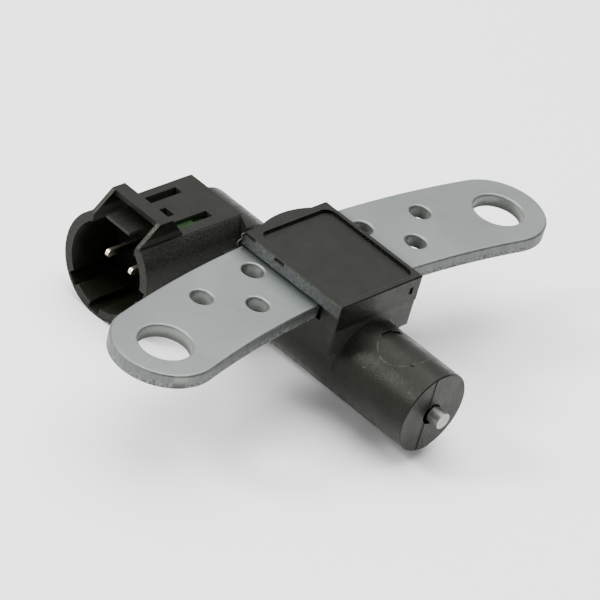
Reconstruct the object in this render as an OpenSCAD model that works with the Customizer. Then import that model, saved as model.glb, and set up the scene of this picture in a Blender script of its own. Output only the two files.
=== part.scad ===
// Crankshaft position sensor: a moulded inductive pickup on a curved, punched steel bracket.
// The origin lies midway between the two bolt holes, on the underside of the bracket.
// +X runs along the bracket, -Y points to the sensing tip, +Z points away from the engine.

/* [Bracket] */
// Distance between the two bolt holes
hole_spacing = 81; // [70:0.5:95]
// Diameter of the bolt holes
hole_d = 9; // [6:0.1:11]
// Thickness of the sheet
plate_t = 2.5; // [2:0.1:3]
// Width of the curved band
band_w = 18.4; // [17:0.1:21]
// Radius of the band's middle line
band_r = 190; // [160:1:260]
// Distance of the bolt holes from the middle line, towards the tip
hole_shift = 0.2; // [0:0.05:1]
// Distance of the round ends' centres inside the bolt holes
end_inset = 0.35; // [0:0.05:1]
// Diameter of the small punched holes
small_hole_d = 3.8; // [3:0.1:5]
// Angle between neighbouring small holes of the back row
small_hole_step = 3.95; // [3.7:0.05:4.1]
// Distance of the small holes from the band's middle line
small_hole_offset = 3.35; // [2.8:0.05:3.8]
// Radius that punching leaves on the upper edges
edge_roll = 0.4; // [0.1:0.05:0.6]

// Distance from the block's sides to the narrow waist inside it
waist_inset = 0.5; // [0.2:0.1:3]
// Depth of the notches that make the waist
waist_notch = 1.5; // [0.8:0.1:2]
// Depth of the coined groove under the waist, which the moulding fills
waist_groove = 0.3; // [0.1:0.05:0.6]

/* [Block] */
// Width of the block that grips the bracket
block_w = 20; // [18:0.5:22]
// Block's reach in front of the bolt hole line
block_front = 9.5; // [8:0.5:11]
// Block's reach behind the bolt hole line
block_back = 13.75; // [13.7:0.05:15]
// Height of the block above the bracket
block_cap = 2.45; // [2:0.05:4]
// Depth of the block below the bracket
block_drop = 5.2; // [4:0.1:6.5]
// Inset of the lower half at the parting line
parting_step = 0.1; // [0.05:0.05:0.5]
// Bevel on the block's upper edges
block_bevel = 0.2; // [0.1:0.05:0.6]
// Radius of the block's upright edges
block_corner_r = 0.25; // [0.2:0.05:1]
// Width of the curved bulge on the block's back
bulge_w = 12.4; // [8:0.1:14]
// Reach of that bulge behind the block
bulge_out = 1.25; // [0.5:0.05:2.5]
// Depth of the recess on the block's top
recess_depth = 0.5; // [0.3:0.05:1.2]
// Depth of the ledge round the recess
ledge_depth = 0.25; // [0.1:0.05:0.25]
// Width of that ledge
ledge_w = 0.25; // [0.2:0.05:0.8]
// Rim on the connector's side of the recess
recess_left_rim = 2; // [1:0.1:4]
// Rim on the other side of the recess
recess_right_rim = 1; // [0.8:0.1:4]
// Rim in front of the recess
recess_front_rim = 1; // [0.8:0.1:4]
// Rim behind the recess
recess_back_rim = 1.4; // [0.8:0.1:4]
// Corner radius of the recess
recess_corner_r = 1.8; // [0.4:0.1:3]

/* [Barrel] */
// Diameter of the barrel
barrel_d = 15.2; // [14.5:0.1:16.5]
// Depth of the barrel's axis below the mounting face
barrel_depth = 8.87; // [8.5:0.05:10]
// Distance from the bolt hole line to the tip face
tip_reach = 26; // [25:0.5:30]
// Width of the neck behind the block
rear_neck_w = 10.4; // [9:0.1:12]
// Height of that neck
rear_neck_h = 7; // [4:0.1:9]
// Distance from the connector's axis to the front of the barrel's rear part
rear_fore = 9.8; // [8:0.05:9.8]
// Width of the shoulder that spreads from the rear part towards the mouth
shoulder_w = 2.2; // [0.5:0.1:3]
// Length of that shoulder
shoulder_l = 4.3; // [3:0.1:5]
// Distance from the connector's axis to the barrel's closed rear end
rear_over = 3.2; // [2:0.1:5]
// Radius of the barrel's rear edge
rear_edge_r = 1.4; // [0.5:0.1:2.5]
// Chamfer of the tip's edge
tip_chamfer = 0.15; // [0.1:0.05:0.6]
// Height of the fillet where the barrel leaves the block
collar_fillet = 0.3; // [0.2:0.05:1.5]
// Diameter of the round mould insert mark on top of the barrel
mark_d = 9; // [5:0.1:10]
// Depth of that mark
mark_depth = 0.05; // [0.05:0.05:0.3]
// Depth of the bite along the mark's rear edge
bite_depth = 0.45; // [0.35:0.05:0.6]
// Reach of that bite into the mark
bite_w = 0.9; // [0.5:0.1:1.5]
// Length of that bite
bite_l = 4.2; // [2:0.1:5]
// Distance of the bite's middle from the barrel's crown
bite_shift = 0.5; // [0:0.1:1]
// Distance of that mark from the tip face
mark_from_tip = 9.15; // [6:0.05:10]
// Width of the raised strip across the tip face
tip_strip_w = 3.1; // [2:0.1:5]
// Height of that strip
tip_strip_h = 0.1; // [0.05:0.05:0.5]

/* [Pickup] */
// Diameter of the pole piece
pole_d = 3; // [2:0.1:4]
// Length of the pole piece that stands out of the tip
pole_out = 2.4; // [1:0.1:4]
// Diameter of the pole piece's head
pole_head_d = 7; // [5:0.1:8]
// Thickness of the pole piece's head
pole_head_t = 1.6; // [1:0.1:2.5]
// Thickness of the moulding at the tip
tip_wall = 1.5; // [1:0.1:2.5]
// Outer diameter of the bobbin
bobbin_d = 11.4; // [10.8:0.1:12]
// Length of the bobbin's spool
spool_l = 15; // [12:0.5:17]
// Thickness of the spool's flanges
flange_t = 1.2; // [0.8:0.1:2]
// Wall of the bobbin's core tube
core_wall = 0.8; // [0.5:0.1:1.2]
// Depth of the winding below the rim of the flanges
winding_inset = 0.5; // [0.4:0.05:1]
// Diameter of the winding's two lead wires
lead_d = 0.4; // [0.2:0.05:0.5]
// Diameter of the magnet
magnet_d = 8; // [7.2:0.1:8.6]
// Length of the magnet
magnet_l = 8; // [6:0.5:10]
// Thickness of the insulating cap behind the magnet
cap_t = 3.2; // [2.8:0.1:5]
// Clearance around round pieces that are moulded in
fit_gap = 0.05; // [0.02:0.01:0.1]

/* [Connector] */
// Distance from the bolt hole line to the connector's axis
socket_back = 30; // [27:0.1:32]
// Distance from the barrel's axis to the mouth
socket_reach = 23.1; // [21:0.1:27]
// Outer diameter of the connector
socket_d = 19.8; // [18.5:0.1:21]
// Wall of the connector
socket_wall = 1.65; // [1.2:0.05:2]
// Depth of the socket
socket_depth = 10.7; // [9:0.1:11]
// Length of the connector beyond the barrel's axis
heel = 1.05; // [0:0.05:3]
// Wall of the flat roof over the socket
roof_wall = 1.5; // [1.2:0.1:2]
// Angles of the keyways, from the side away from the tip, downwards
keyway_angles = [46, 88, 177]; // [0:1:200]
// Width of a keyway
keyway_w = 2.5; // [1.5:0.1:3.5]
// Wall left outside a keyway
keyway_skin = 0.55; // [0.4:0.05:0.9]

/* [Hood] */
// Width of the latch hood
hood_w = 12; // [11:0.1:12.2]
// Height of the hood above the roof
hood_h = 3.9; // [3:0.1:5]
// Setback of the hood's upper front edge
hood_setback = 3.9; // [2:0.1:6]
// Length of the hood's flat top
hood_top = 2.9; // [2:0.1:3.4]
// Length of the slope behind the hood
hood_slope = 3.5; // [2:0.1:4]
// Wall of the hood's top and of its rear slope
hood_wall = 1; // [0.8:0.1:1.6]
// Wall of the hood's sides
hood_side_wall = 0.8; // [0.6:0.1:1.2]
// Width of the latch tongue
tongue_w = 5.7; // [4:0.1:7]
// Thickness of the tongue
tongue_t = 0.5; // [0.4:0.05:0.8]
// Height of the tongue above the roof
tongue_rise = 0.8; // [0.3:0.1:1.2]
// Setback of the tongue's front edge from the mouth
tongue_setback = 0.4; // [0.2:0.1:3]
// Length of the two long roof slots
slot_l = 7.8; // [5:0.1:8]
// Width of the long roof slots
slot_w = 1.7; // [0.8:0.1:1.8]
// Distance of the long slot on the tip's side from the connector's axis
slot_offset = 3.6; // [3.2:0.1:3.8]
// Distance of the other long slot from the connector's axis
back_slot_offset = 4; // [3.2:0.1:4.4]
// Distance from the barrel's axis to the slots' outer ends
slot_reach = 12.1; // [11.2:0.05:12.2]
// Depth of the slots that end in the moulding
slot_depth = 2.6; // [1.5:0.1:3]
// Depth of the small middle window
window_depth = 4.4; // [2:0.1:4.4]
// Length of the small middle window
window_l = 1.9; // [0.8:0.1:3]
// Width of the small middle window
window_w = 2.3; // [1.5:0.1:3.5]

/* [Terminals] */
// Distance between the two terminals
pin_pitch = 5.8; // [5.4:0.1:6.4]
// Thickness of a terminal
pin_t = 0.65; // [0.5:0.05:1]
// Height of a terminal's blade
pin_h = 1.5; // [1.2:0.1:2.4]
// Setback of the terminals' tips from the mouth
pin_setback = 2.9; // [1.5:0.1:5]
// Inner radius of the terminals' bend
pin_bend_r = 3.8; // [3.4:0.1:4.2]
// Depth of the terminals in the insulating cap
pin_seat = 2; // [1:0.1:2.2]
// Width of the terminal carrier
carrier_w = 9.4; // [8.8:0.1:11]
// Height of the terminal carrier
carrier_h = 5.2; // [4:0.1:7]
// Length of the terminal carrier
carrier_l = 7.6; // [6:0.1:7.8]
// Depth of the carrier's high step below the roof
carrier_high = 0.8; // [0.5:0.1:1.4]
// Depth of the carrier's low step below the roof
carrier_low = 1.5; // [1:0.1:2.5]
// Depth of the carrier's upright wall below the roof
carrier_top = 0.3; // [0.2:0.05:0.6]
// Thickness of that wall
carrier_wall = 0.5; // [0.3:0.05:0.8]
// Length of the carrier's high step
carrier_step_l = 4.4; // [2:0.1:5]

/* [Hidden] */
$fn = 96;

eps = 0.01;
beyond = 40;

// Bracket: the band's middle line passes close behind both bolt holes
hole_x = hole_spacing / 2;
band_cy = hole_shift - sqrt(band_r * band_r - hole_x * hole_x);
end_x = hole_x - end_inset;
end_y = band_cy + sqrt(band_r * band_r - end_x * end_x);
band_half_angle = asin(end_x / band_r);
band_facets = 720;
waist_lap = 0.8;
waist_l = block_w - 2 * waist_inset;
waist_half_angle = asin(waist_l / 2 / band_r);
small_hole_places = [
    [small_hole_step, small_hole_offset],
    [2 * small_hole_step, small_hole_offset],
    [1.5 * small_hole_step, -small_hole_offset]
];

// Block
block_top = plate_t + block_cap;
block_l = block_front + block_back;
bulge_r = (bulge_w * bulge_w / 4 + bulge_out * bulge_out) / (2 * bulge_out);
void_w = 1;
void_depth = 0.8;
void_above = 0.25;
dent_r = 0.6;
dent_l = 1.4;
dent_depth = 0.2;
dent_back = 5.2;
dent_below_top = 0.45;
pit_w = 0.8;
pit_h = 1.4;
pit_depth = 0.3;
pit_x = block_w / 2 - 2.2;
pit_z = plate_t - 0.7;
seam_depth = 0.3;
seam_h = 0.15;
seam_teeth = 11;
seam_tooth_h = 0.1;
corner_step_w = 0.35;
corner_step_h = 0.4;
corner_step_l = 2.6;
neck_proud = 0.15;

// Barrel
axis_z = -barrel_depth;
barrel_r = barrel_d / 2;
tip_y = -tip_reach;
rear_front = socket_back - rear_fore;
rear_reach = socket_back + rear_over;
dimple_gap = 0.45;
dimple_depth = 1.1;
dimple_shift = 0.35;
gate_d = 0.7;
gate_h = 0.1;
gate_angle = 29;

// Pickup, counted from the tip backwards
spool_y = tip_y + tip_wall;
cup_y = spool_y + spool_l;
magnet_y = cup_y + pole_head_t;
cap_y = magnet_y + magnet_l;
cap_end = cap_y + cap_t;
core_r = pole_d / 2 + fit_gap + core_wall;
winding_d = bobbin_d - 2 * winding_inset;
winding_y = spool_y + flange_t;
winding_l = spool_l - 2 * flange_t;
lead_z = winding_d / 2 + lead_d / 2 - eps;
lead_y = cap_end - pin_seat / 2;
lead_x = pin_pitch / 2;

// Connector
mouth_x = -socket_reach;
socket_r = socket_d / 2;
bore_r = socket_r - socket_wall;
roof_z = axis_z + barrel_r;

// Hood profile, counted from the mouth
hood_front = mouth_x + hood_setback;
hood_rear = hood_front + hood_top;
hood_foot = hood_rear + hood_slope;
hood_z = roof_z + hood_h;
slope_run = hood_slope / hood_h;
slope_wall = hood_wall * sqrt(1 + slope_run * slope_run);
bar_setback = 0.05;

// Terminals
pin_tip = mouth_x + pin_setback;
carrier_x = -slot_reach;
pin_mid_r = pin_bend_r + pin_t / 2;

steel = "#aeb4b6";
moulding = "#35363a";
iron = "#b9b6ae";
bobbin_white = "#d8d3c4";
copper = "#a5622f";
ferrite = "#4b4b50";
tin = "#cfc59c";
carrier_green = "#3f8f45";

module about_barrel(y) {
    translate([0, y, axis_z]) rotate([-90, 0, 0]) children();
}

module about_socket(x) {
    translate([x, socket_back, axis_z]) rotate([0, 90, 0]) children();
}

module centred_box(size_x, size_y, low_z, high_z) {
    translate([-size_x / 2, -size_y / 2, low_z]) cube([size_x, size_y, high_z - low_z]);
}

module rounded_rect(size_x, size_y, r) {
    square([size_x - 2 * r, size_y], center = true);
    square([size_x, size_y - 2 * r], center = true);
    for (sx = [-1, 1], sy = [-1, 1])
        translate([sx * (size_x / 2 - r), sy * (size_y / 2 - r)]) circle(r);
}

// A strip's section from x = 0 outwards, with its upper outer edge rolled
module rolled_section(reach) {
    square([reach - edge_roll, plate_t]);
    square([reach, plate_t - edge_roll]);
    translate([reach - edge_roll, plate_t - edge_roll]) circle(edge_roll);
}

// One arm of the band, in the frame of its round end: +Y across the band, +X outwards
module arm() {
    rotate([0, 0, -90]) rotate_extrude(angle = 180) rolled_section(band_w / 2);
    translate([0, -band_r, 0]) rotate([0, 0, 90])
        rotate_extrude(angle = band_half_angle - waist_half_angle, $fn = band_facets)
            translate([band_r, 0]) {
                rolled_section(band_w / 2);
                mirror([1, 0]) rolled_section(band_w / 2);
            }
}

// Two arms joined by a notched and grooved waist, which the block hides
module blank() {
    difference() {
        union() {
            for (side = [0, 1])
                mirror([side, 0, 0]) translate([end_x, end_y, 0]) rotate([0, 0, -band_half_angle]) arm();
            translate([0, band_cy + band_r, 0])
                centred_box(waist_l + 2 * waist_lap, band_w - 2 * waist_notch, 0, plate_t);
        }
        centred_box(block_w - parting_step, 2 * beyond, -eps, waist_groove);
    }
}

// A punched hole with a rolled upper edge
module punched_hole(d) {
    translate([0, 0, -eps]) cylinder(d = d, h = plate_t + 2 * eps);
    rotate_extrude() difference() {
        translate([0, plate_t - edge_roll]) square([d / 2 + edge_roll, edge_roll + eps]);
        translate([d / 2 + edge_roll, plate_t - edge_roll]) circle(edge_roll);
    }
}

module at_small_holes() {
    for (side = [-1, 1], place = small_hole_places)
        translate([0, band_cy, 0]) rotate([0, 0, -side * place[0]])
            translate([0, band_r + place[1], 0]) children();
}

module mounting_bracket() {
    color(steel) difference() {
        blank();
        for (side = [-1, 1]) translate([side * hole_x, 0, 0]) punched_hole(hole_d);
        at_small_holes() punched_hole(small_hole_d);
    }
}

module block_outline(inset) {
    translate([0, (block_back - block_front) / 2])
        rounded_rect(block_w - 2 * inset, block_l - 2 * inset, block_corner_r);
}

module block() {
    difference() {
        union() {
            linear_extrude(block_top) block_outline(0);
            intersection() {
                translate([0, block_back + bulge_out - bulge_r, 0]) cylinder(r = bulge_r, h = block_top);
                translate([0, block_back, 0]) centred_box(bulge_w, 2 * bulge_out, 0, block_top);
            }
        }
        for (side = [-1, 1])
            translate([side * block_w / 2, 0, block_top]) rotate([0, 45, 0])
                cube([block_bevel * sqrt(2), 2 * beyond, block_bevel * sqrt(2)], center = true);
        translate([0, -block_front, block_top]) rotate([45, 0, 0])
            cube([2 * beyond, block_bevel * sqrt(2), block_bevel * sqrt(2)], center = true);
    }
    translate([0, 0, -block_drop]) linear_extrude(block_drop) block_outline(parting_step);
}

// The web that carries the barrel under the block
module neck() {
    neck_front = -block_front + parting_step;
    neck_back = block_back - parting_step;
    translate([-barrel_r - neck_proud, neck_front, axis_z])
        cube([barrel_d + 2 * neck_proud, neck_back - neck_front, barrel_depth - block_drop + eps]);
}

// The barrel from its tip to the block's back, and the lower neck from there into the connector
module barrel() {
    front_end = block_back - parting_step;
    about_barrel(0) rotate_extrude() polygon([
        [0, tip_y], [barrel_r - tip_chamfer, tip_y], [barrel_r, tip_y + tip_chamfer], [barrel_r, front_end],
        [0, front_end]
    ]);
    translate([-rear_neck_w / 2, front_end - eps, axis_z - rear_neck_h / 2])
        cube([rear_neck_w, socket_back - front_end, rear_neck_h]);
    intersection() {
        about_barrel(-block_front + parting_step - collar_fillet)
            cylinder(r1 = barrel_r, r2 = barrel_r + collar_fillet, h = collar_fillet + eps);
        translate([0, -block_front, 0]) centred_box(barrel_d, 2 * block_front, axis_z, 0);
    }
    intersection() {
        about_barrel(tip_y - tip_strip_h) cylinder(r = barrel_r - tip_chamfer, h = 1);
        translate([0, tip_y, 0])
            centred_box(tip_strip_w, 2 * tip_strip_h, axis_z - barrel_r, axis_z + barrel_r);
    }
    gate_x = -mark_d / 2 * sin(gate_angle);
    gate_y = tip_y + mark_from_tip - mark_d / 2 * cos(gate_angle);
    translate([gate_x, gate_y, axis_z])
        cylinder(d = gate_d, h = sqrt(barrel_r * barrel_r - gate_x * gate_x) + gate_h);
}

// The barrel's rear part beside the connector's closed end, with a shoulder in front of the connector
module rear_barrel() {
    edge_y = rear_reach - rear_edge_r;
    intersection() {
        about_barrel(0) rotate_extrude() {
            translate([0, rear_front]) square([barrel_r, edge_y - rear_front]);
            translate([0, edge_y - eps]) square([barrel_r - rear_edge_r, rear_edge_r + eps]);
            intersection() {
                translate([barrel_r - rear_edge_r, edge_y]) circle(rear_edge_r);
                translate([0, edge_y - eps]) square([barrel_r, rear_edge_r + eps]);
            }
        }
        union() {
            translate([heel, 0, axis_z - beyond / 2]) cube([beyond, 2 * beyond, beyond]);
            translate([heel + eps, rear_front, axis_z]) linear_extrude(beyond)
                polygon([[0, -eps], [0, shoulder_l], [-shoulder_w, -eps]]);
        }
    }
}

// The children's share of the barrel's skin, down to a depth
module barrel_skin(depth) {
    intersection() {
        children();
        about_barrel(tip_y) difference() {
            cylinder(r = barrel_r + 1, h = tip_reach);
            translate([0, 0, -1]) cylinder(r = barrel_r - depth, h = tip_reach + 2);
        }
    }
}

// A round, skin-deep mark on the barrel's top, with a deeper bite along its rear edge
module barrel_mark() {
    mark_y = tip_y + mark_from_tip;
    barrel_skin(mark_depth) translate([0, mark_y, axis_z]) cylinder(d = mark_d, h = beyond);
    barrel_skin(bite_depth) intersection() {
        translate([0, mark_y, axis_z]) difference() {
            cylinder(d = mark_d, h = beyond);
            translate([0, -bite_w, -eps]) cylinder(d = mark_d, h = beyond + 2 * eps);
        }
        translate([bite_shift, mark_y, 0]) centred_box(bite_l, mark_d, axis_z, axis_z + beyond);
    }
}

module hood_profile() {
    polygon([
        [mouth_x, roof_z - socket_wall], [mouth_x, roof_z], [hood_front, hood_z], [hood_rear, hood_z],
        [hood_foot, roof_z], [hood_foot, roof_z - socket_wall]
    ]);
}

module hood_hollow_profile() {
    inner_z = hood_z - hood_wall;
    inner_rear = hood_rear - slope_wall + hood_wall * slope_run;
    inner_foot_z = roof_z - roof_wall;
    bar_x = hood_front + bar_setback;
    polygon([
        [mouth_x - 1, inner_foot_z - eps], [mouth_x - 1, hood_z + 1], [bar_x, hood_z + 1], [bar_x, inner_z],
        [inner_rear, inner_z], [inner_rear + (inner_z - inner_foot_z) * slope_run, inner_foot_z - eps]
    ]);
}

// Sweeps a profile of X and Z along Y, centred on the connector's axis
module across_socket(width) {
    translate([0, socket_back + width / 2, 0]) rotate([90, 0, 0]) linear_extrude(width) children();
}

module connector() {
    intersection() {
        about_socket(mouth_x) cylinder(r = socket_r, h = socket_reach + heel);
        translate([mouth_x - 1, 0, roof_z - beyond]) cube([beyond, 2 * beyond, beyond]);
    }
    across_socket(hood_w) hood_profile();
}

module socket_hollow() {
    intersection() {
        about_socket(mouth_x - 1) cylinder(r = bore_r, h = socket_depth + 1);
        translate([mouth_x - 2, 0, roof_z - roof_wall - beyond]) cube([beyond, 2 * beyond, beyond]);
    }
    across_socket(hood_w - 2 * hood_side_wall) hood_hollow_profile();
    for (angle = keyway_angles)
        about_socket(mouth_x - 1) rotate([0, 0, 90 - angle])
            translate([0, -keyway_w / 2, 0])
                cube([socket_r - keyway_skin, keyway_w, socket_depth + 1]);
}

// A thin tongue that springs from the hood's rear slope
module tongue() {
    front_x = mouth_x + tongue_setback;
    root_x = hood_foot - slope_wall / 2;
    top = tongue_rise + tongue_t;
    across_socket(tongue_w) polygon([
        [front_x, roof_z + tongue_rise], [front_x, roof_z + top],
        [root_x - top * slope_run, roof_z + top], [root_x - tongue_rise * slope_run, roof_z + tongue_rise]
    ]);
}

module roof_slots() {
    for (offset = [-slot_offset, back_slot_offset])
        translate([-slot_reach, socket_back + offset - slot_w / 2, roof_z - slot_depth])
            cube([slot_l, slot_w, beyond]);
    translate([-slot_reach, socket_back - window_w / 2, roof_z - window_depth])
        cube([window_l, window_w, beyond]);
}

// A ragged seam on both sides, where the moulding meets the bracket's upper face
module seams() {
    seam_y = band_cy + sqrt(pow(band_r - band_w / 2, 2) - pow(block_w / 2, 2));
    seam_end = band_cy + sqrt(pow(band_r + band_w / 2, 2) - pow(block_w / 2, 2));
    tooth_l = (seam_end - seam_y) / seam_teeth;
    for (side = [-1, 1], tooth = [0 : seam_teeth - 1])
        translate([side * block_w / 2, seam_y + (tooth + 0.5) * tooth_l, plate_t])
            centred_box(2 * seam_depth, tooth_l + eps, -eps, seam_h + seam_tooth_h * (tooth * 5 % 3) / 2);
}

module block_marks() {
    recess_w = block_w - recess_left_rim - recess_right_rim;
    recess_x = (recess_left_rim - recess_right_rim) / 2;
    recess_l = block_l - recess_front_rim - recess_back_rim;
    recess_y = (block_back - recess_back_rim - block_front + recess_front_rim) / 2;
    translate([recess_x, recess_y, block_top - ledge_depth]) linear_extrude(ledge_depth + eps)
        rounded_rect(recess_w, recess_l, recess_corner_r);
    translate([recess_x, recess_y, block_top - recess_depth]) linear_extrude(recess_depth)
        rounded_rect(recess_w - 2 * ledge_w, recess_l - 2 * ledge_w, recess_corner_r - ledge_w);
    band_front_y = band_cy + sqrt(pow(band_r - band_w / 2, 2) - pow(block_w / 2, 2));
    for (side = [-1, 1])
        translate([side * block_w / 2, band_front_y - void_w / 2 + eps, 0])
            centred_box(2 * void_depth, void_w, 0, plate_t + void_above);
    translate([-block_w / 2 - dent_r + dent_depth, dent_back, block_top - dent_below_top]) {
        rotate([90, 0, 0]) cylinder(r = dent_r, h = dent_l, center = true);
        for (end = [-1, 1]) translate([0, end * dent_l / 2, 0]) sphere(dent_r);
    }
    translate([pit_x, -block_front, pit_z]) centred_box(pit_w, 2 * pit_depth, 0, pit_h);
    translate([-block_w / 2, block_back, block_top])
        cube([2 * corner_step_w, 2 * corner_step_l, 2 * corner_step_h], center = true);
}

module pickup_space() {
    about_barrel(spool_y) cylinder(d = bobbin_d + 2 * fit_gap, h = cap_end - spool_y);
    about_barrel(tip_y - 1) cylinder(d = pole_d + 2 * fit_gap, h = tip_wall + 2);
    translate([-dimple_shift, 0, 0]) about_barrel(tip_y - tip_strip_h - eps)
        cylinder(d = pole_d + 2 * dimple_gap, h = tip_strip_h + dimple_depth);
}

// A terminal's centre line leaves the cap along +Y, bends and ends at the mouth along -X
module terminal(side) {
    x = side * pin_pitch / 2;
    y = socket_back + side * pin_pitch / 2;
    start_y = cap_end - pin_seat;
    translate([x - pin_t / 2, start_y, axis_z - pin_h / 2])
        cube([pin_t, y - pin_mid_r - start_y, pin_h]);
    translate([x - pin_mid_r, y - pin_mid_r, axis_z - pin_h / 2]) rotate_extrude(angle = 90)
        translate([pin_bend_r, 0]) square([pin_t, pin_h]);
    translate([pin_tip + pin_h / 2, y - pin_t / 2, axis_z - pin_h / 2])
        cube([x - pin_mid_r - pin_tip - pin_h / 2, pin_t, pin_h]);
    translate([pin_tip + pin_h / 2, y, axis_z]) rotate([90, 0, 0])
        cylinder(d = pin_h, h = pin_t, center = true);
}

module terminals() {
    terminal(1);
    terminal(-1);
}

// The carrier, with the steps that lie in one roof slot and the upright wall beside them
module carrier_solid() {
    translate([carrier_x, socket_back - carrier_w / 2, axis_z - carrier_h / 2])
        cube([carrier_l, carrier_w, carrier_h]);
    translate([carrier_x, socket_back - slot_offset + slot_w / 2 - eps, axis_z])
        cube([carrier_l, carrier_wall, barrel_r - carrier_top]);
    translate([carrier_x, socket_back - slot_offset - slot_w / 2, axis_z]) {
        cube([carrier_step_l, slot_w, barrel_r - carrier_high]);
        cube([carrier_l, slot_w, barrel_r - carrier_low]);
    }
}

module sensor_body() {
    color(moulding) {
        difference() {
            union() {
                block();
                neck();
                barrel();
                rear_barrel();
                connector();
            }
            blank();
            block_marks();
            seams();
            barrel_mark();
            pickup_space();
            socket_hollow();
            roof_slots();
            carrier_solid();
            terminals();
        }
        tongue();
    }
}

module pole_piece() {
    color(iron) {
        about_barrel(tip_y - pole_out) cylinder(d = pole_d, h = pole_out + tip_wall + spool_l);
        about_barrel(cup_y) cylinder(d = pole_head_d, h = pole_head_t);
    }
}

// The lead wires run in grooves along the cup and drop onto the terminals in the cap
module leads(d) {
    for (side = [-1, 1]) {
        lead_drop = sqrt(lead_z * lead_z - lead_x * lead_x);
        translate([side * lead_x, winding_y + winding_l - flange_t, axis_z + lead_drop]) rotate([-90, 0, 0])
            cylinder(d = d, h = lead_y + d / 2 - winding_y - winding_l + flange_t);
        translate([side * lead_x, lead_y, axis_z + pin_h / 2]) cylinder(d = d, h = lead_drop - pin_h / 2);
    }
}

module coil_bobbin() {
    color(bobbin_white) difference() {
        union() {
            about_barrel(spool_y) cylinder(d = bobbin_d, h = flange_t);
            about_barrel(spool_y) cylinder(r = core_r, h = spool_l);
            about_barrel(cup_y - flange_t) cylinder(d = bobbin_d, h = flange_t + pole_head_t + magnet_l);
        }
        about_barrel(spool_y - 1) cylinder(d = pole_d + 2 * fit_gap, h = spool_l + 2);
        about_barrel(cup_y) cylinder(d = pole_head_d + 2 * fit_gap, h = pole_head_t + eps);
        about_barrel(magnet_y) cylinder(d = magnet_d + 2 * fit_gap, h = magnet_l + 1);
        leads(lead_d + 2 * fit_gap);
    }
}

module coil_winding() {
    color(copper) {
        about_barrel(winding_y) difference() {
            cylinder(d = winding_d, h = winding_l);
            translate([0, 0, -1]) cylinder(r = core_r + fit_gap, h = winding_l + 2);
        }
        leads(lead_d);
    }
}

module magnet() {
    color(ferrite) about_barrel(magnet_y) cylinder(d = magnet_d, h = magnet_l);
}

module insulating_cap() {
    color(bobbin_white) difference() {
        about_barrel(cap_y) cylinder(d = bobbin_d, h = cap_t);
        terminals();
        leads(lead_d + 2 * fit_gap);
    }
}

module terminal_outer() {
    color(tin) terminal(1);
}

module terminal_inner() {
    color(tin) terminal(-1);
}

module terminal_carrier() {
    color(carrier_green) difference() {
        carrier_solid();
        terminals();
    }
}

mounting_bracket();
sensor_body();
pole_piece();
coil_bobbin();
coil_winding();
magnet();
insulating_cap();
terminal_outer();
terminal_inner();
terminal_carrier();
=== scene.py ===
"""Looks of the crankshaft position sensor: materials, a mould flash whisker, floor, lights and camera.

The row frame is used throughout, in metres: +X along the bracket, -Y towards the tip, +Z up.
"""

import math

import bpy
from mathutils import Matrix, Vector


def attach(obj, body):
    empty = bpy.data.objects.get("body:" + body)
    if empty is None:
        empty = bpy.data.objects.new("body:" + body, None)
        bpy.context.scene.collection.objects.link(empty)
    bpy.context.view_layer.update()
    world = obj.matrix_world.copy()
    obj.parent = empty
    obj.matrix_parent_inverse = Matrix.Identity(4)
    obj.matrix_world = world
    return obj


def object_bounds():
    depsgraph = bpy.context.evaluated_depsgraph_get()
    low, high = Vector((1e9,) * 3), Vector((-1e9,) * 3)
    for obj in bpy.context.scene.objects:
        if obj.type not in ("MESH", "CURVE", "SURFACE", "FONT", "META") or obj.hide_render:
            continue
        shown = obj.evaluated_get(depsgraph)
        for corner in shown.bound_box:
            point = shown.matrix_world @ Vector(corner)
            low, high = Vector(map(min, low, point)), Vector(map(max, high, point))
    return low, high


MM = 0.001

# Places on the part that the materials follow
PLATE_TOP = 2.5 * MM
BOLT_X = 40.5 * MM
BOLT_RADIUS = 4.5 * MM
BAND_RADIUS = 190 * MM
BAND_CENTRE = -math.sqrt(BAND_RADIUS ** 2 - BOLT_X ** 2)
HOLE_ZONE = 7.5 * MM
BLOCK_SIDE = 10 * MM
BLOCK_FRONT = -9.5 * MM
BLOCK_TOP = 4.95 * MM
RECESS_FLOOR = BLOCK_TOP - 0.5 * MM
RECESS_RIGHT = BLOCK_SIDE - 1 * MM
RECESS_BACK = 12.35 * MM
TIP_FACE = -26 * MM
MARK_Y = TIP_FACE + 9.15 * MM
MARK_RADIUS = 4.5 * MM
PARTING = -7.4 * MM
BARREL_AXIS = -8.87 * MM
CONNECTOR_FRONT = 20 * MM
CONNECTOR_END = 1.05 * MM
ROOF = -1.27 * MM
SOCKET_AXIS = 30 * MM
SOCKET_RADIUS = 9.45 * MM
SOCKET_MOUTH = -23.1 * MM
SOCKET_END = SOCKET_MOUTH + 10.7 * MM
PIN_TIP = SOCKET_MOUTH + 2.9 * MM

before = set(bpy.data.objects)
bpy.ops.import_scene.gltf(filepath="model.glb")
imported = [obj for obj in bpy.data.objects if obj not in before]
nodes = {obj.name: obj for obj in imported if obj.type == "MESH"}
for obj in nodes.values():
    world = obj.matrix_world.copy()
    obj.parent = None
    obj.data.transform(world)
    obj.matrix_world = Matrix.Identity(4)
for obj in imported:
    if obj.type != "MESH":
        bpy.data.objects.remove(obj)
cad_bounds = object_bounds()


# Materials

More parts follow.
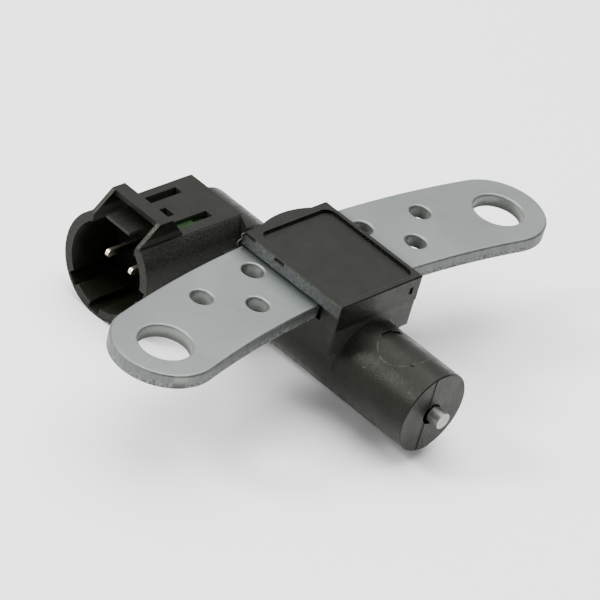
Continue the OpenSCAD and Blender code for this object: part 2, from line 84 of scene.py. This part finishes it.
class Look:
    """A node material with one Principled shader and short ways to add nodes to it."""

    def __init__(self, name, **sockets):
        self.material = bpy.data.materials.new(name)
        self.material.use_nodes = True
        self.tree = self.material.node_tree
        self.shader = self.tree.nodes["Principled BSDF"]
        for socket, value in sockets.items():
            self.shader.inputs[socket.replace("_", " ")].default_value = value

    def add(self, kind, inputs=None, **settings):
        node = self.tree.nodes.new("ShaderNode" + kind)
        for key, value in settings.items():
            setattr(node, key, value)
        for socket, value in (inputs or {}).items():
            self.feed(node, socket, value)
        return node

    def feed(self, node, socket, value):
        if isinstance(value, bpy.types.NodeSocket):
            self.tree.links.new(value, node.inputs[socket])
        else:
            node.inputs[socket].default_value = value

    def place(self, stretch=(1, 1, 1)):
        """Positions on the part, in metres, stretched along its axes."""
        coordinates = self.add("TexCoord")
        mapping = self.add("Mapping", {"Vector": coordinates.outputs["Object"], "Scale": stretch})
        return mapping.outputs["Vector"]

    def position(self):
        """X, Y and Z of a point on the part."""
        parts = self.add("SeparateXYZ", {"Vector": self.place()})
        return parts.outputs["X"], parts.outputs["Y"], parts.outputs["Z"]

    def facing(self, axis):
        """How far a face turns towards an axis, from -1 to 1."""
        geometry = self.add("NewGeometry")
        parts = self.add("SeparateXYZ", {"Vector": geometry.outputs["Normal"]})
        return parts.outputs[axis]

    def noise(self, scale, detail=3, roughness=0.55, stretch=(1, 1, 1)):
        node = self.add("TexNoise", {
            "Vector": self.place(stretch), "Scale": scale, "Detail": detail, "Roughness": roughness,
        })
        return node.outputs["Fac"]

    def maths(self, operation, a, b=0.0):
        node = self.add("Math", {0: a, 1: b}, operation=operation)
        return node.outputs["Value"]

    def distance(self, a, b):
        """Length of the line whose two parts are a and b."""
        squares = self.maths("ADD", self.maths("POWER", a, 2.0), self.maths("POWER", b, 2.0))
        return self.maths("SQRT", squares)

    def apart(self, value, level):
        """How far a value lies from a level, on either side."""
        return self.maths("ABSOLUTE", self.maths("SUBTRACT", value, level))

    def spread(self, value, low, high, to_low=0.0, to_high=1.0):
        node = self.add("MapRange", {
            "Value": value, "From Min": low, "From Max": high, "To Min": to_low, "To Max": to_high,
        })
        return node.outputs["Result"]

    def above(self, value, level, blur):
        return self.spread(value, level - blur, level + blur)

    def below(self, value, level, blur):
        return self.spread(value, level - blur, level + blur, 1.0, 0.0)

    def all_of(self, *masks):
        result = masks[0]
        for mask in masks[1:]:
            result = self.maths("MULTIPLY", result, mask)
        return result

    # The Mix node has its own pair of inputs and its own output for each type of value

    def blend(self, factor, a, b):
        node = self.add("Mix", {"Factor": factor, 2: a, 3: b}, data_type="FLOAT")
        return node.outputs[0]

    def mix(self, factor, a, b):
        node = self.add("Mix", {"Factor": factor, 6: a, 7: b}, data_type="RGBA")
        return node.outputs[2]

    def layers(self, colour, coats):
        """A colour with coats over it, each where its mask is."""
        for mask, tone in coats:
            colour = self.mix(mask, colour, tone)
        return colour

    def waves(self, value, length):
        """A wave from 0 to 1 along a value."""
        wave = self.maths("SINE", self.maths("MULTIPLY", value, 2 * math.pi / length))
        return self.spread(wave, -1, 1)

    def bump(self, height, distance, strength=1.0, under=None):
        node = self.add("Bump", {"Height": height, "Distance": distance, "Strength": strength})
        if under is not None:
            self.feed(node, "Normal", under)
        return node.outputs["Normal"]

    def soft_edges(self, radius):
        """Normals that turn smoothly round the edges, and a mask of those edges."""
        bevel = self.add("Bevel", {"Radius": radius}, samples=6)
        face = self.add("NewGeometry")
        turn = self.add(
            "VectorMath", {0: bevel.outputs["Normal"], 1: face.outputs["Normal"]}, operation="DOT_PRODUCT")
        return bevel.outputs["Normal"], self.spread(turn.outputs["Value"], 0.85, 0.97, 1.0, 0.0)

    def finish(self, **links):
        for socket, value in links.items():
            self.feed(self.shader, socket.replace("_", " "), value)
        return self.material


# Moulding: masks of the places where it differs from plain black

def rough_mould(look):
    """The connector below its roof, which came from a coarser mould."""
    x, y, z = look.position()
    return look.all_of(
        look.above(y, CONNECTOR_FRONT, 0.3 * MM),
        look.below(x, CONNECTOR_END, 0.1 * MM),
        look.below(z, ROOF - 0.15 * MM, 0.1 * MM))


def smooth_under(look):
    """The barrel below its parting line."""
    _, y, z = look.position()
    return look.all_of(look.below(z, PARTING, 0.03 * MM), look.below(y, BLOCK_FRONT - 1.5 * MM, 0.5 * MM))


def facing_tip(look):
    return look.below(look.facing("Y"), -0.9, 0.05)


def lower_front(look):
    """Faces towards the tip that lie below the bracket, from the block's front backwards, painted paler as
    if lit by light bounced up from the floor.
    """
    _, y, z = look.position()
    return look.all_of(
        facing_tip(look), look.above(y, BLOCK_FRONT - 1.5 * MM, 0.5 * MM), look.below(z, 0.0, 0.03 * MM))


def low_side(look):
    """Faces towards the left in front of the connector, more towards the bottom, where light bounced from
    the floor is painted on.
    """
    _, y, z = look.position()
    return look.all_of(
        look.below(look.facing("X"), -0.45, 0.35),
        look.below(z, PARTING - 3.5 * MM, 3 * MM),
        look.below(y, CONNECTOR_FRONT - 1 * MM, 0.5 * MM))


def wall_reflection(look):
    """A pale, grainy painted reflection on the block's left wall, thin near its ends and absent in its dent.
    """
    x, y, z = look.position()
    grains = look.noise(2200, 3, 0.7, (1, 0.6, 1))
    return look.all_of(
        look.below(look.facing("X"), -0.9, 0.05),
        look.below(x, 0.05 * MM - BLOCK_SIDE, 0.03 * MM),
        look.above(z, PLATE_TOP + 0.2 * MM, 0.15 * MM),
        look.spread(y, BLOCK_FRONT, 0.0, 0.35, 1.0),
        look.spread(y, RECESS_BACK - 4 * MM, RECESS_BACK + 1 * MM, 1.0, 0.4),
        look.spread(grains, 0.35, 0.65, 0.45, 1.0))


def dust(look):
    """Small specks in patches."""
    specks = look.add("TexVoronoi", {"Vector": look.place(), "Scale": 620.0})
    return look.all_of(
        look.spread(specks.outputs["Distance"], 0.05, 0.10, 0.35, 0.0),
        look.spread(look.noise(150, 2), 0.55, 0.7))


def tip_scratches(look):
    """Upright scratches on the barrel's end face."""
    _, y, _ = look.position()
    upright_lines = look.noise(2200, 2, 0.5, (1, 1, 0.06))
    return look.all_of(
        facing_tip(look),
        look.below(y, TIP_FACE + 0.5 * MM, 0.2 * MM),
        look.spread(upright_lines, 0.54, 0.72, 0.0, 0.35))


def mark_edge(look):
    """The broken pale line round the barrel's mould mark: a painted highlight on its edge."""
    x, y, z = look.position()
    off_centre = look.distance(x, look.maths("SUBTRACT", y, MARK_Y))
    return look.all_of(
        look.below(look.apart(off_centre, MARK_RADIUS), 0.11 * MM, 0.05 * MM),
        look.above(z, BARREL_AXIS + 3 * MM, 1 * MM),
        look.spread(look.noise(1100), 0.42, 0.56, 0.0, 0.8))


def recess_step_shade(look):
    """The walls and the ledge at the far sides of the block's recess, where shade is painted in near black.
    """
    x, y, z = look.position()
    between_floor_and_rim = look.all_of(
        look.above(z, RECESS_FLOOR + 0.03 * MM, 0.01 * MM),
        look.below(z, BLOCK_TOP - 0.03 * MM, 0.01 * MM))
    inside_walls = look.all_of(
        look.above(x, 1 * MM - BLOCK_SIDE, 0.2 * MM),
        look.below(x, RECESS_RIGHT + 0.1 * MM, 0.05 * MM),
        look.below(y, RECESS_BACK + 0.1 * MM, 0.05 * MM))
    far_sides = look.maths(
        "MAXIMUM",
        look.above(x, RECESS_RIGHT - 1 * MM, 0.4 * MM),
        look.above(y, RECESS_BACK - 1 * MM, 0.4 * MM))
    return look.all_of(between_floor_and_rim, inside_walls, far_sides, 0.75)


def socket_inside(look):
    """The inside of the round socket, well below the roof, more and more from the mouth inwards, where shade
    is painted in dark.
    """
    x, y, z = look.position()
    off_axis = look.distance(
        look.maths("SUBTRACT", y, SOCKET_AXIS), look.maths("SUBTRACT", z, BARREL_AXIS))
    return look.all_of(
        look.below(off_axis, SOCKET_RADIUS, 0.05 * MM),
        look.below(x, SOCKET_END + 0.3 * MM, 0.2 * MM),
        look.spread(x, SOCKET_MOUTH + 0.1 * MM, SOCKET_MOUTH + 3 * MM),
        look.below(z, ROOF - 2.5 * MM, 0.4 * MM))


# Moulding: tones

DEEP_BLACK = (0.0040, 0.0043, 0.0032, 1)
SOFT_BLACK = (0.0070, 0.0074, 0.0056, 1)
# Painted light: the lower left side of the barrel made paler, as if lit from the floor
PAINTED_FLOOR_LIGHT = (0.022, 0.0225, 0.019, 1)
# Painted reflection: the block's left wall made paler and bluish, as if it mirrored the bracket
PAINTED_WALL_REFLECTION = (0.090, 0.100, 0.098, 1)
# Painted light: front faces below the bracket made paler than those above it
PAINTED_FRONT_LIGHT = (0.026, 0.026, 0.024, 1)
WORN_EDGE = (0.075, 0.076, 0.068, 1)
DUST = (0.12, 0.12, 0.11, 1)
PALE_GRAIN = (0.050, 0.051, 0.046, 1)
SCRATCH = (0.035, 0.035, 0.031, 1)
# Painted highlight along the edge of the barrel's mould mark
MARK_EDGE_HIGHLIGHT = (0.045, 0.045, 0.040, 1)
# Painted shade on the walls and ledge at the far sides of the block's recess
RECESS_SHADE = (0.002, 0.002, 0.0015, 1)
# Painted shade inside the round socket
SOCKET_SHADE = (0.0070, 0.0078, 0.0040, 1)


def moulded_black():
    """Glass-filled black plastic from spark-eroded moulds: sparkling grain, worn edges and a little dust."""
    look = Look("moulding", Specular_IOR_Level=0.14, Specular_Tint=(0.97, 1.0, 0.88, 1))
    coarse_area = rough_mould(look)
    shaded_step = recess_step_shade(look)
    # socket: the mask of the painted shade inside the round socket
    socket = socket_inside(look)
    edge_normal, edge = look.soft_edges(0.05 * MM)

    black = look.mix(look.spread(look.noise(260, 4), 0.32, 0.7), DEEP_BLACK, SOFT_BLACK)
    colour = look.layers(black, [
        (low_side(look), PAINTED_FLOOR_LIGHT),
        (wall_reflection(look), PAINTED_WALL_REFLECTION),
        (lower_front(look), PAINTED_FRONT_LIGHT),
        (look.all_of(edge, look.spread(look.noise(900), 0.35, 0.7, 0.0, 0.5)), WORN_EDGE),
        (dust(look), DUST),
        (look.all_of(coarse_area, look.spread(look.noise(4200, 2), 0.48, 0.66, 0.0, 0.36)), PALE_GRAIN),
        (tip_scratches(look), SCRATCH),
        (mark_edge(look), MARK_EDGE_HIGHLIGHT),
        (shaded_step, RECESS_SHADE),
        (socket, SOCKET_SHADE),
    ])

    # Painted shade: a metal as dark as this reflects less than plastic does, so the recess step and the
    # socket stay dark
    hollow_shade = look.maths("MAXIMUM", look.all_of(socket, 0.35), shaded_step)
    cloudy = look.spread(look.noise(420), 0.3, 0.7, 0.24, 0.34)
    scuffs = look.noise(1500, 3, 0.6, (0.12, 1, 0.12))
    scuffed = look.maths("ADD", cloudy, look.spread(scuffs, 0.3, 0.7, 0.0, 0.14))
    roughness = look.blend(coarse_area, scuffed, 0.5)

    flat_top = look.above(look.facing("Z"), 0.97, 0.02)
    sparkle = look.all_of(look.noise(5000, 1), look.spread(flat_top, 0, 1, 1.0, 0.3))
    pebbles = look.all_of(
        look.noise(4200, 2, 0.6),
        look.spread(coarse_area, 0, 1, 0.12, 1.0),
        look.spread(smooth_under(look), 0, 1, 1.0, 0.3))
    grain = look.bump(sparkle, 0.06 * MM, under=edge_normal)
    pebbled = look.bump(pebbles, 0.14 * MM, under=grain)
    return look.finish(Base_Color=colour, Metallic=hollow_shade, Roughness=roughness, Normal=pebbled)


# Bracket

ZINC_DARK = (0.146, 0.162, 0.159, 1)
ZINC_LIGHT = (0.192, 0.206, 0.202, 1)
ZINC_STAIN = (0.150, 0.154, 0.143, 1)
ZINC_LINE = (0.222, 0.237, 0.235, 1)
ZINC_SPECK = (0.130, 0.140, 0.139, 1)
# Painted shade: the bracket's tone next to the block
ZINC_BLOCK_SHADE = (0.065, 0.073, 0.073, 1)
BURNISHED_DARK = (0.085, 0.092, 0.088, 1)
BURNISHED_LIGHT = (0.135, 0.144, 0.138, 1)
TORN_DARK = (0.08, 0.086, 0.08, 1)
TORN_LIGHT = (0.22, 0.229, 0.219, 1)
HOLE_PALE = (0.21, 0.228, 0.212, 1)
HOLE_DEEP = (0.04, 0.044, 0.039, 1)


def hole_walls(look, upright):
    """The walls of the punched holes, which lie near the middle of the curved band."""
    x, y, _ = look.position()
    from_centre = look.distance(x, look.maths("SUBTRACT", y, BAND_CENTRE))
    return look.all_of(
        look.below(look.apart(from_centre, BAND_RADIUS), HOLE_ZONE, 0.2 * MM),
        look.below(look.maths("ABSOLUTE", x), BOLT_X + BOLT_RADIUS + 0.3 * MM, 0.2 * MM),
        upright)


def zinc_steel():
    """Dull zinc plating with faint stains; the sheared edges are burnished above and torn below."""
    look = Look("zinc_steel", Metallic=0.93)
    x, _, z = look.position()
    upright = look.spread(look.maths("ABSOLUTE", look.facing("Z")), 0.85, 0.997, 1.0, 0.0)
    wander = look.spread(look.noise(900), 0, 1, -0.5 * MM, 0.5 * MM)
    torn = look.all_of(look.below(look.maths("ADD", z, wander), 0.95 * MM, 0.1 * MM), upright)
    burnished = look.maths("SUBTRACT", upright, torn)
    holes = hole_walls(look, upright)
    # Painted shade on the bracket, darker towards the block's sides
    shade_by_block = look.spread(look.maths("ABSOLUTE", x), BLOCK_SIDE, BLOCK_SIDE + 4.5 * MM, 0.8, 0.0)

    stain = look.noise(190, 5, 0.65)
    rolled = look.noise(1500, 4, 0.6, (0.06, 1, 1))
    speckle = look.noise(2600, 2)
    scored = look.noise(1700, 3, 0.6, (1, 1, 0.08))
    plating = look.mix(look.spread(look.noise(70, 4), 0.3, 0.7), ZINC_DARK, ZINC_LIGHT)
    burnished_tone = look.mix(look.spread(scored, 0.3, 0.7), BURNISHED_DARK, BURNISHED_LIGHT)
    torn_tone = look.mix(look.spread(speckle, 0.4, 0.6), TORN_DARK, TORN_LIGHT)
    colour = look.layers(plating, [
        (look.spread(stain, 0.58, 0.78, 0.0, 0.4), ZINC_STAIN),
        (look.spread(rolled, 0.3, 0.7, 0.0, 0.25), ZINC_LINE),
        (look.spread(speckle, 0.3, 0.7, 0.0, 0.16), ZINC_SPECK),
        (shade_by_block, ZINC_BLOCK_SHADE),
        (look.all_of(burnished, 0.9), burnished_tone),
        (look.all_of(torn, 0.9), torn_tone),
        (look.all_of(holes, 0.7), HOLE_PALE),
        (look.all_of(holes, look.below(z, 1 * MM, 0.7 * MM), 0.75), HOLE_DEEP),
    ])

    plated = look.spread(stain, 0.3, 0.7, 0.38, 0.46)
    roughness = look.blend(torn, look.blend(upright, plated, 0.55), 0.7)
    pitted = look.bump(look.noise(2400), 0.05 * MM, 0.6)
    score_marks = look.bump(look.all_of(scored, upright), 0.06 * MM, 0.7, pitted)
    return look.finish(Base_Color=colour, Roughness=roughness, Normal=score_marks)


# Pole piece, terminals and the pieces inside

POLE_DARK = (0.20, 0.20, 0.19, 1)
POLE_LIGHT = (0.30, 0.30, 0.285, 1)
POLE_RING = (0.42, 0.42, 0.40, 1)
# Painted shade where the pole leaves the moulding
POLE_FOOT_SHADE = (0.012, 0.012, 0.010, 1)
RING_PITCH = 0.22 * MM
TIN_DARK = (0.66, 0.63, 0.47, 1)
TIN_LIGHT = (0.80, 0.77, 0.60, 1)
# Painted reflection: the dark socket mirrored in the blades' flat sides
TIN_SIDE_REFLECTION = (0.05, 0.05, 0.03, 1)
COPPER_DARK = (0.30, 0.11, 0.045, 1)
COPPER_LIGHT = (0.66, 0.30, 0.13, 1)
WIRE_PITCH = 0.3 * MM


def pole_steel():
    """Soft iron, turned on its end face, drawn along its sides, with painted shade where it leaves the
    moulding.
    """
    look = Look("pole_steel", Metallic=1.0)
    x, y, z = look.position()
    streak = look.noise(900, 3, 0.6, (1, 0.05, 1))
    off_axis = look.distance(x, look.maths("SUBTRACT", z, BARREL_AXIS))
    end_face = look.spread(look.maths("ABSOLUTE", look.facing("Y")), 0.8, 0.95)
    rings = look.all_of(look.waves(off_axis, RING_PITCH), end_face)
    drawn = look.mix(look.spread(streak, 0.3, 0.7), POLE_DARK, POLE_LIGHT)
    colour = look.layers(drawn, [
        (look.all_of(rings, 0.5), POLE_RING),
        (look.above(y, TIP_FACE - 0.08 * MM, 0.08 * MM), POLE_FOOT_SHADE),
    ])
    roughness = look.spread(streak, 0.3, 0.7, 0.38, 0.50)
    return look.finish(Base_Color=colour, Roughness=roughness, Normal=look.bump(rings, 0.01 * MM, 0.5))


def tinned_brass():
    """Bright tin, with a painted dark reflection of the socket on the blades' flat sides behind their tips.
    """
    look = Look("tinned_brass", Metallic=1.0)
    x, _, _ = look.position()
    streak = look.noise(700, 4, 0.6, (0.1, 1, 1))
    flat_side = look.above(look.maths("ABSOLUTE", look.facing("Y")), 0.8, 0.1)
    behind_tip = look.spread(x, PIN_TIP + 0.5 * MM, PIN_TIP + 2.5 * MM)
    bright = look.mix(look.spread(streak, 0.3, 0.7), TIN_DARK, TIN_LIGHT)
    colour = look.mix(look.all_of(flat_side, behind_tip), bright, TIN_SIDE_REFLECTION)
    roughness = look.spread(look.noise(700, 2), 0.3, 0.7, 0.36, 0.48)
    return look.finish(Base_Color=colour, Roughness=roughness, Normal=look.bump(streak, 0.005 * MM, 0.4))


def wound_copper():
    """Enamelled wire: turns side by side along the barrel."""
    look = Look("copper_wire", Metallic=1.0, Roughness=0.34)
    _, y, _ = look.position()
    turns = look.waves(y, WIRE_PITCH)
    colour = look.mix(turns, COPPER_DARK, COPPER_LIGHT)
    return look.finish(Base_Color=colour, Normal=look.bump(turns, 0.08 * MM, 0.8))


def ground_magnet():
    """A hard magnet, ground along the barrel."""
    look = Look("magnet", Metallic=1.0)
    streak = look.noise(500, 4, 0.6, (1, 0.1, 1))
    colour = look.mix(look.spread(streak, 0.3, 0.7), (0.10, 0.10, 0.11, 1), (0.19, 0.19, 0.20, 1))
    roughness = look.spread(look.noise(700, 2), 0.3, 0.7, 0.39, 0.51)
    return look.finish(Base_Color=colour, Roughness=roughness, Normal=look.bump(streak, 0.005 * MM, 0.4))


def plain_plastic(name, dark, light, roughness, specular):
    """A moulded plastic with soft flow marks and a fine grain."""
    look = Look(name, Roughness=roughness, Specular_IOR_Level=specular)
    flow = look.noise(380, 4, 0.6, (1, 1, 2.5))
    colour = look.mix(look.spread(flow, 0.3, 0.7), dark, light)
    return look.finish(Base_Color=colour, Normal=look.bump(look.noise(2800, 2), 0.02 * MM, 0.5))


off_white = plain_plastic("bobbin_plastic", (0.58, 0.55, 0.46, 1), (0.70, 0.67, 0.58, 1), 0.5, 0.5)
green = plain_plastic("green_plastic", (0.007, 0.021, 0.005, 1), (0.012, 0.033, 0.009, 1), 0.7, 0.1)
thin_black = plain_plastic("moulding_flash", (0.025, 0.025, 0.022, 1), (0.06, 0.06, 0.054, 1), 0.4, 0.4)
tin = tinned_brass()
looks = {
    "mounting_bracket": zinc_steel(),
    "sensor_body": moulded_black(),
    "pole_piece": pole_steel(),
    "coil_bobbin": off_white,
    "coil_winding": wound_copper(),
    "magnet": ground_magnet(),
    "insulating_cap": off_white,
    "terminal_outer": tin,
    "terminal_inner": tin,
    "terminal_carrier": green,
}
for name, material in looks.items():
    mesh = nodes[name].data
    mesh.materials.clear()
    mesh.materials.append(material)


# Mould flash: a thin curled whisker on the block's rear corner, beside the bracket

WHISKER_RADIUS = 0.1 * MM
WHISKER_Y = 13.65 * MM
WHISKER_XZ = [
    (-9.7, 4.35), (-9.8, 4.7), (-10.3, 5.0), (-10.8, 4.75), (-10.5, 4.2), (-9.95, 4.2), (-10.3, 3.85),
    (-11.0, 3.75), (-11.3, 3.45), (-11.15, 3.0), (-10.9, 2.6),
]


def whisker():
    curve = bpy.data.curves.new("mould_flash", "CURVE")
    curve.dimensions = "3D"
    curve.bevel_depth = WHISKER_RADIUS
    curve.bevel_resolution = 3
    curve.use_fill_caps = True
    spline = curve.splines.new("NURBS")
    spline.points.add(len(WHISKER_XZ) - 1)
    for point, (x, z) in zip(spline.points, WHISKER_XZ):
        point.co = (x * MM, WHISKER_Y, z * MM, 1)
    spline.use_endpoint_u = True
    spline.order_u = 4
    flash = bpy.data.objects.new("mould_flash", curve)
    bpy.context.scene.collection.objects.link(flash)
    flash.data.materials.append(thin_black)
    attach(flash, "root")


whisker()


# Floor

FLOOR_SIZE = 6
FLOOR_DARK = (0.90, 0.90, 0.895, 1)
FLOOR_LIGHT = (0.92, 0.92, 0.915, 1)


def floor(z):
    bpy.ops.mesh.primitive_plane_add(size=FLOOR_SIZE, location=(0, 0, z))
    plane = bpy.context.object
    plane.name = "floor"
    look = Look("floor", Roughness=0.9, Specular_IOR_Level=0.1)
    tone = look.mix(look.spread(look.noise(3, 2), 0.3, 0.7), FLOOR_DARK, FLOOR_LIGHT)
    plane.data.materials.append(look.finish(Base_Color=tone))


floor(cad_bounds[0][2])


# Lights

def softbox(name, place, side, power):
    """A square lamp aimed at the origin."""
    light = bpy.data.lights.new(name, "AREA")
    light.size = side
    light.energy = power
    box = bpy.data.objects.new(name, light)
    box.location = place
    box.rotation_euler = (-Vector(place)).to_track_quat("-Z", "Y").to_euler()
    bpy.context.scene.collection.objects.link(box)


def studio(dark_side, dark, bright):
    """A pale room whose walls grow darker towards one side."""
    world = bpy.data.worlds.new("studio")
    world.use_nodes = True
    tree = world.node_tree
    background = tree.nodes["Background"]
    background.inputs["Color"].default_value = (1, 1, 1, 1)
    toward = tree.nodes.new("ShaderNodeTexCoord")
    facing = tree.nodes.new("ShaderNodeVectorMath")
    facing.operation = "DOT_PRODUCT"
    facing.inputs[1].default_value = Vector(dark_side).normalized()
    tree.links.new(toward.outputs["Generated"], facing.inputs[0])
    level = tree.nodes.new("ShaderNodeMapRange")
    level.interpolation_type = "SMOOTHSTEP"
    level.inputs["From Min"].default_value = -0.7
    level.inputs["From Max"].default_value = 0.7
    level.inputs["To Min"].default_value = bright
    level.inputs["To Max"].default_value = dark
    tree.links.new(facing.outputs["Value"], level.inputs["Value"])
    tree.links.new(level.outputs["Result"], background.inputs["Strength"])
    bpy.context.scene.world = world


softbox("overhead", place=(0.1, 0.1, 1.0), side=1.1, power=27)
softbox("left_back", place=(-0.62, 0.48, 0.61), side=0.22, power=11)
softbox("left", place=(-0.85, -0.15, 0.5), side=0.3, power=1)
studio(dark_side=(-0.25, -1.0, 0.1), dark=0.10, bright=1.5)


# Camera: at the photograph's viewing angle, which was fitted to the bracket's and the block's edges

AZIMUTH = math.radians(-54.331)
ELEVATION = math.radians(34.278)
ROLL = math.radians(16.294)
AIM = Vector((0, 2.571, 2.5)) * MM
OFF_RIGHT = -4.804 * MM
OFF_UP = -5.923 * MM
DISTANCE = 606.4 * MM
SENSOR = 36.0
LENS = 218.67
CLIP_START = 10 * MM


def photo_camera():
    reach = math.cos(ELEVATION)
    back = Vector((math.sin(AZIMUTH) * reach, -math.cos(AZIMUTH) * reach, math.sin(ELEVATION)))
    level = Vector((math.cos(AZIMUTH), math.sin(AZIMUTH), 0))
    upright = back.cross(level)
    right = level * math.cos(ROLL) + upright * math.sin(ROLL)
    up = upright * math.cos(ROLL) - level * math.sin(ROLL)
    data = bpy.data.cameras.new("camera")
    data.sensor_width = SENSOR
    data.lens = LENS
    data.clip_start = CLIP_START
    camera = bpy.data.objects.new("camera", data)
    turn = Matrix((right, up, back)).transposed().to_4x4()
    camera.matrix_world = Matrix.Translation(AIM + right * OFF_RIGHT + up * OFF_UP + back * DISTANCE) @ turn
    bpy.context.scene.collection.objects.link(camera)
    bpy.context.scene.camera = camera


photo_camera()
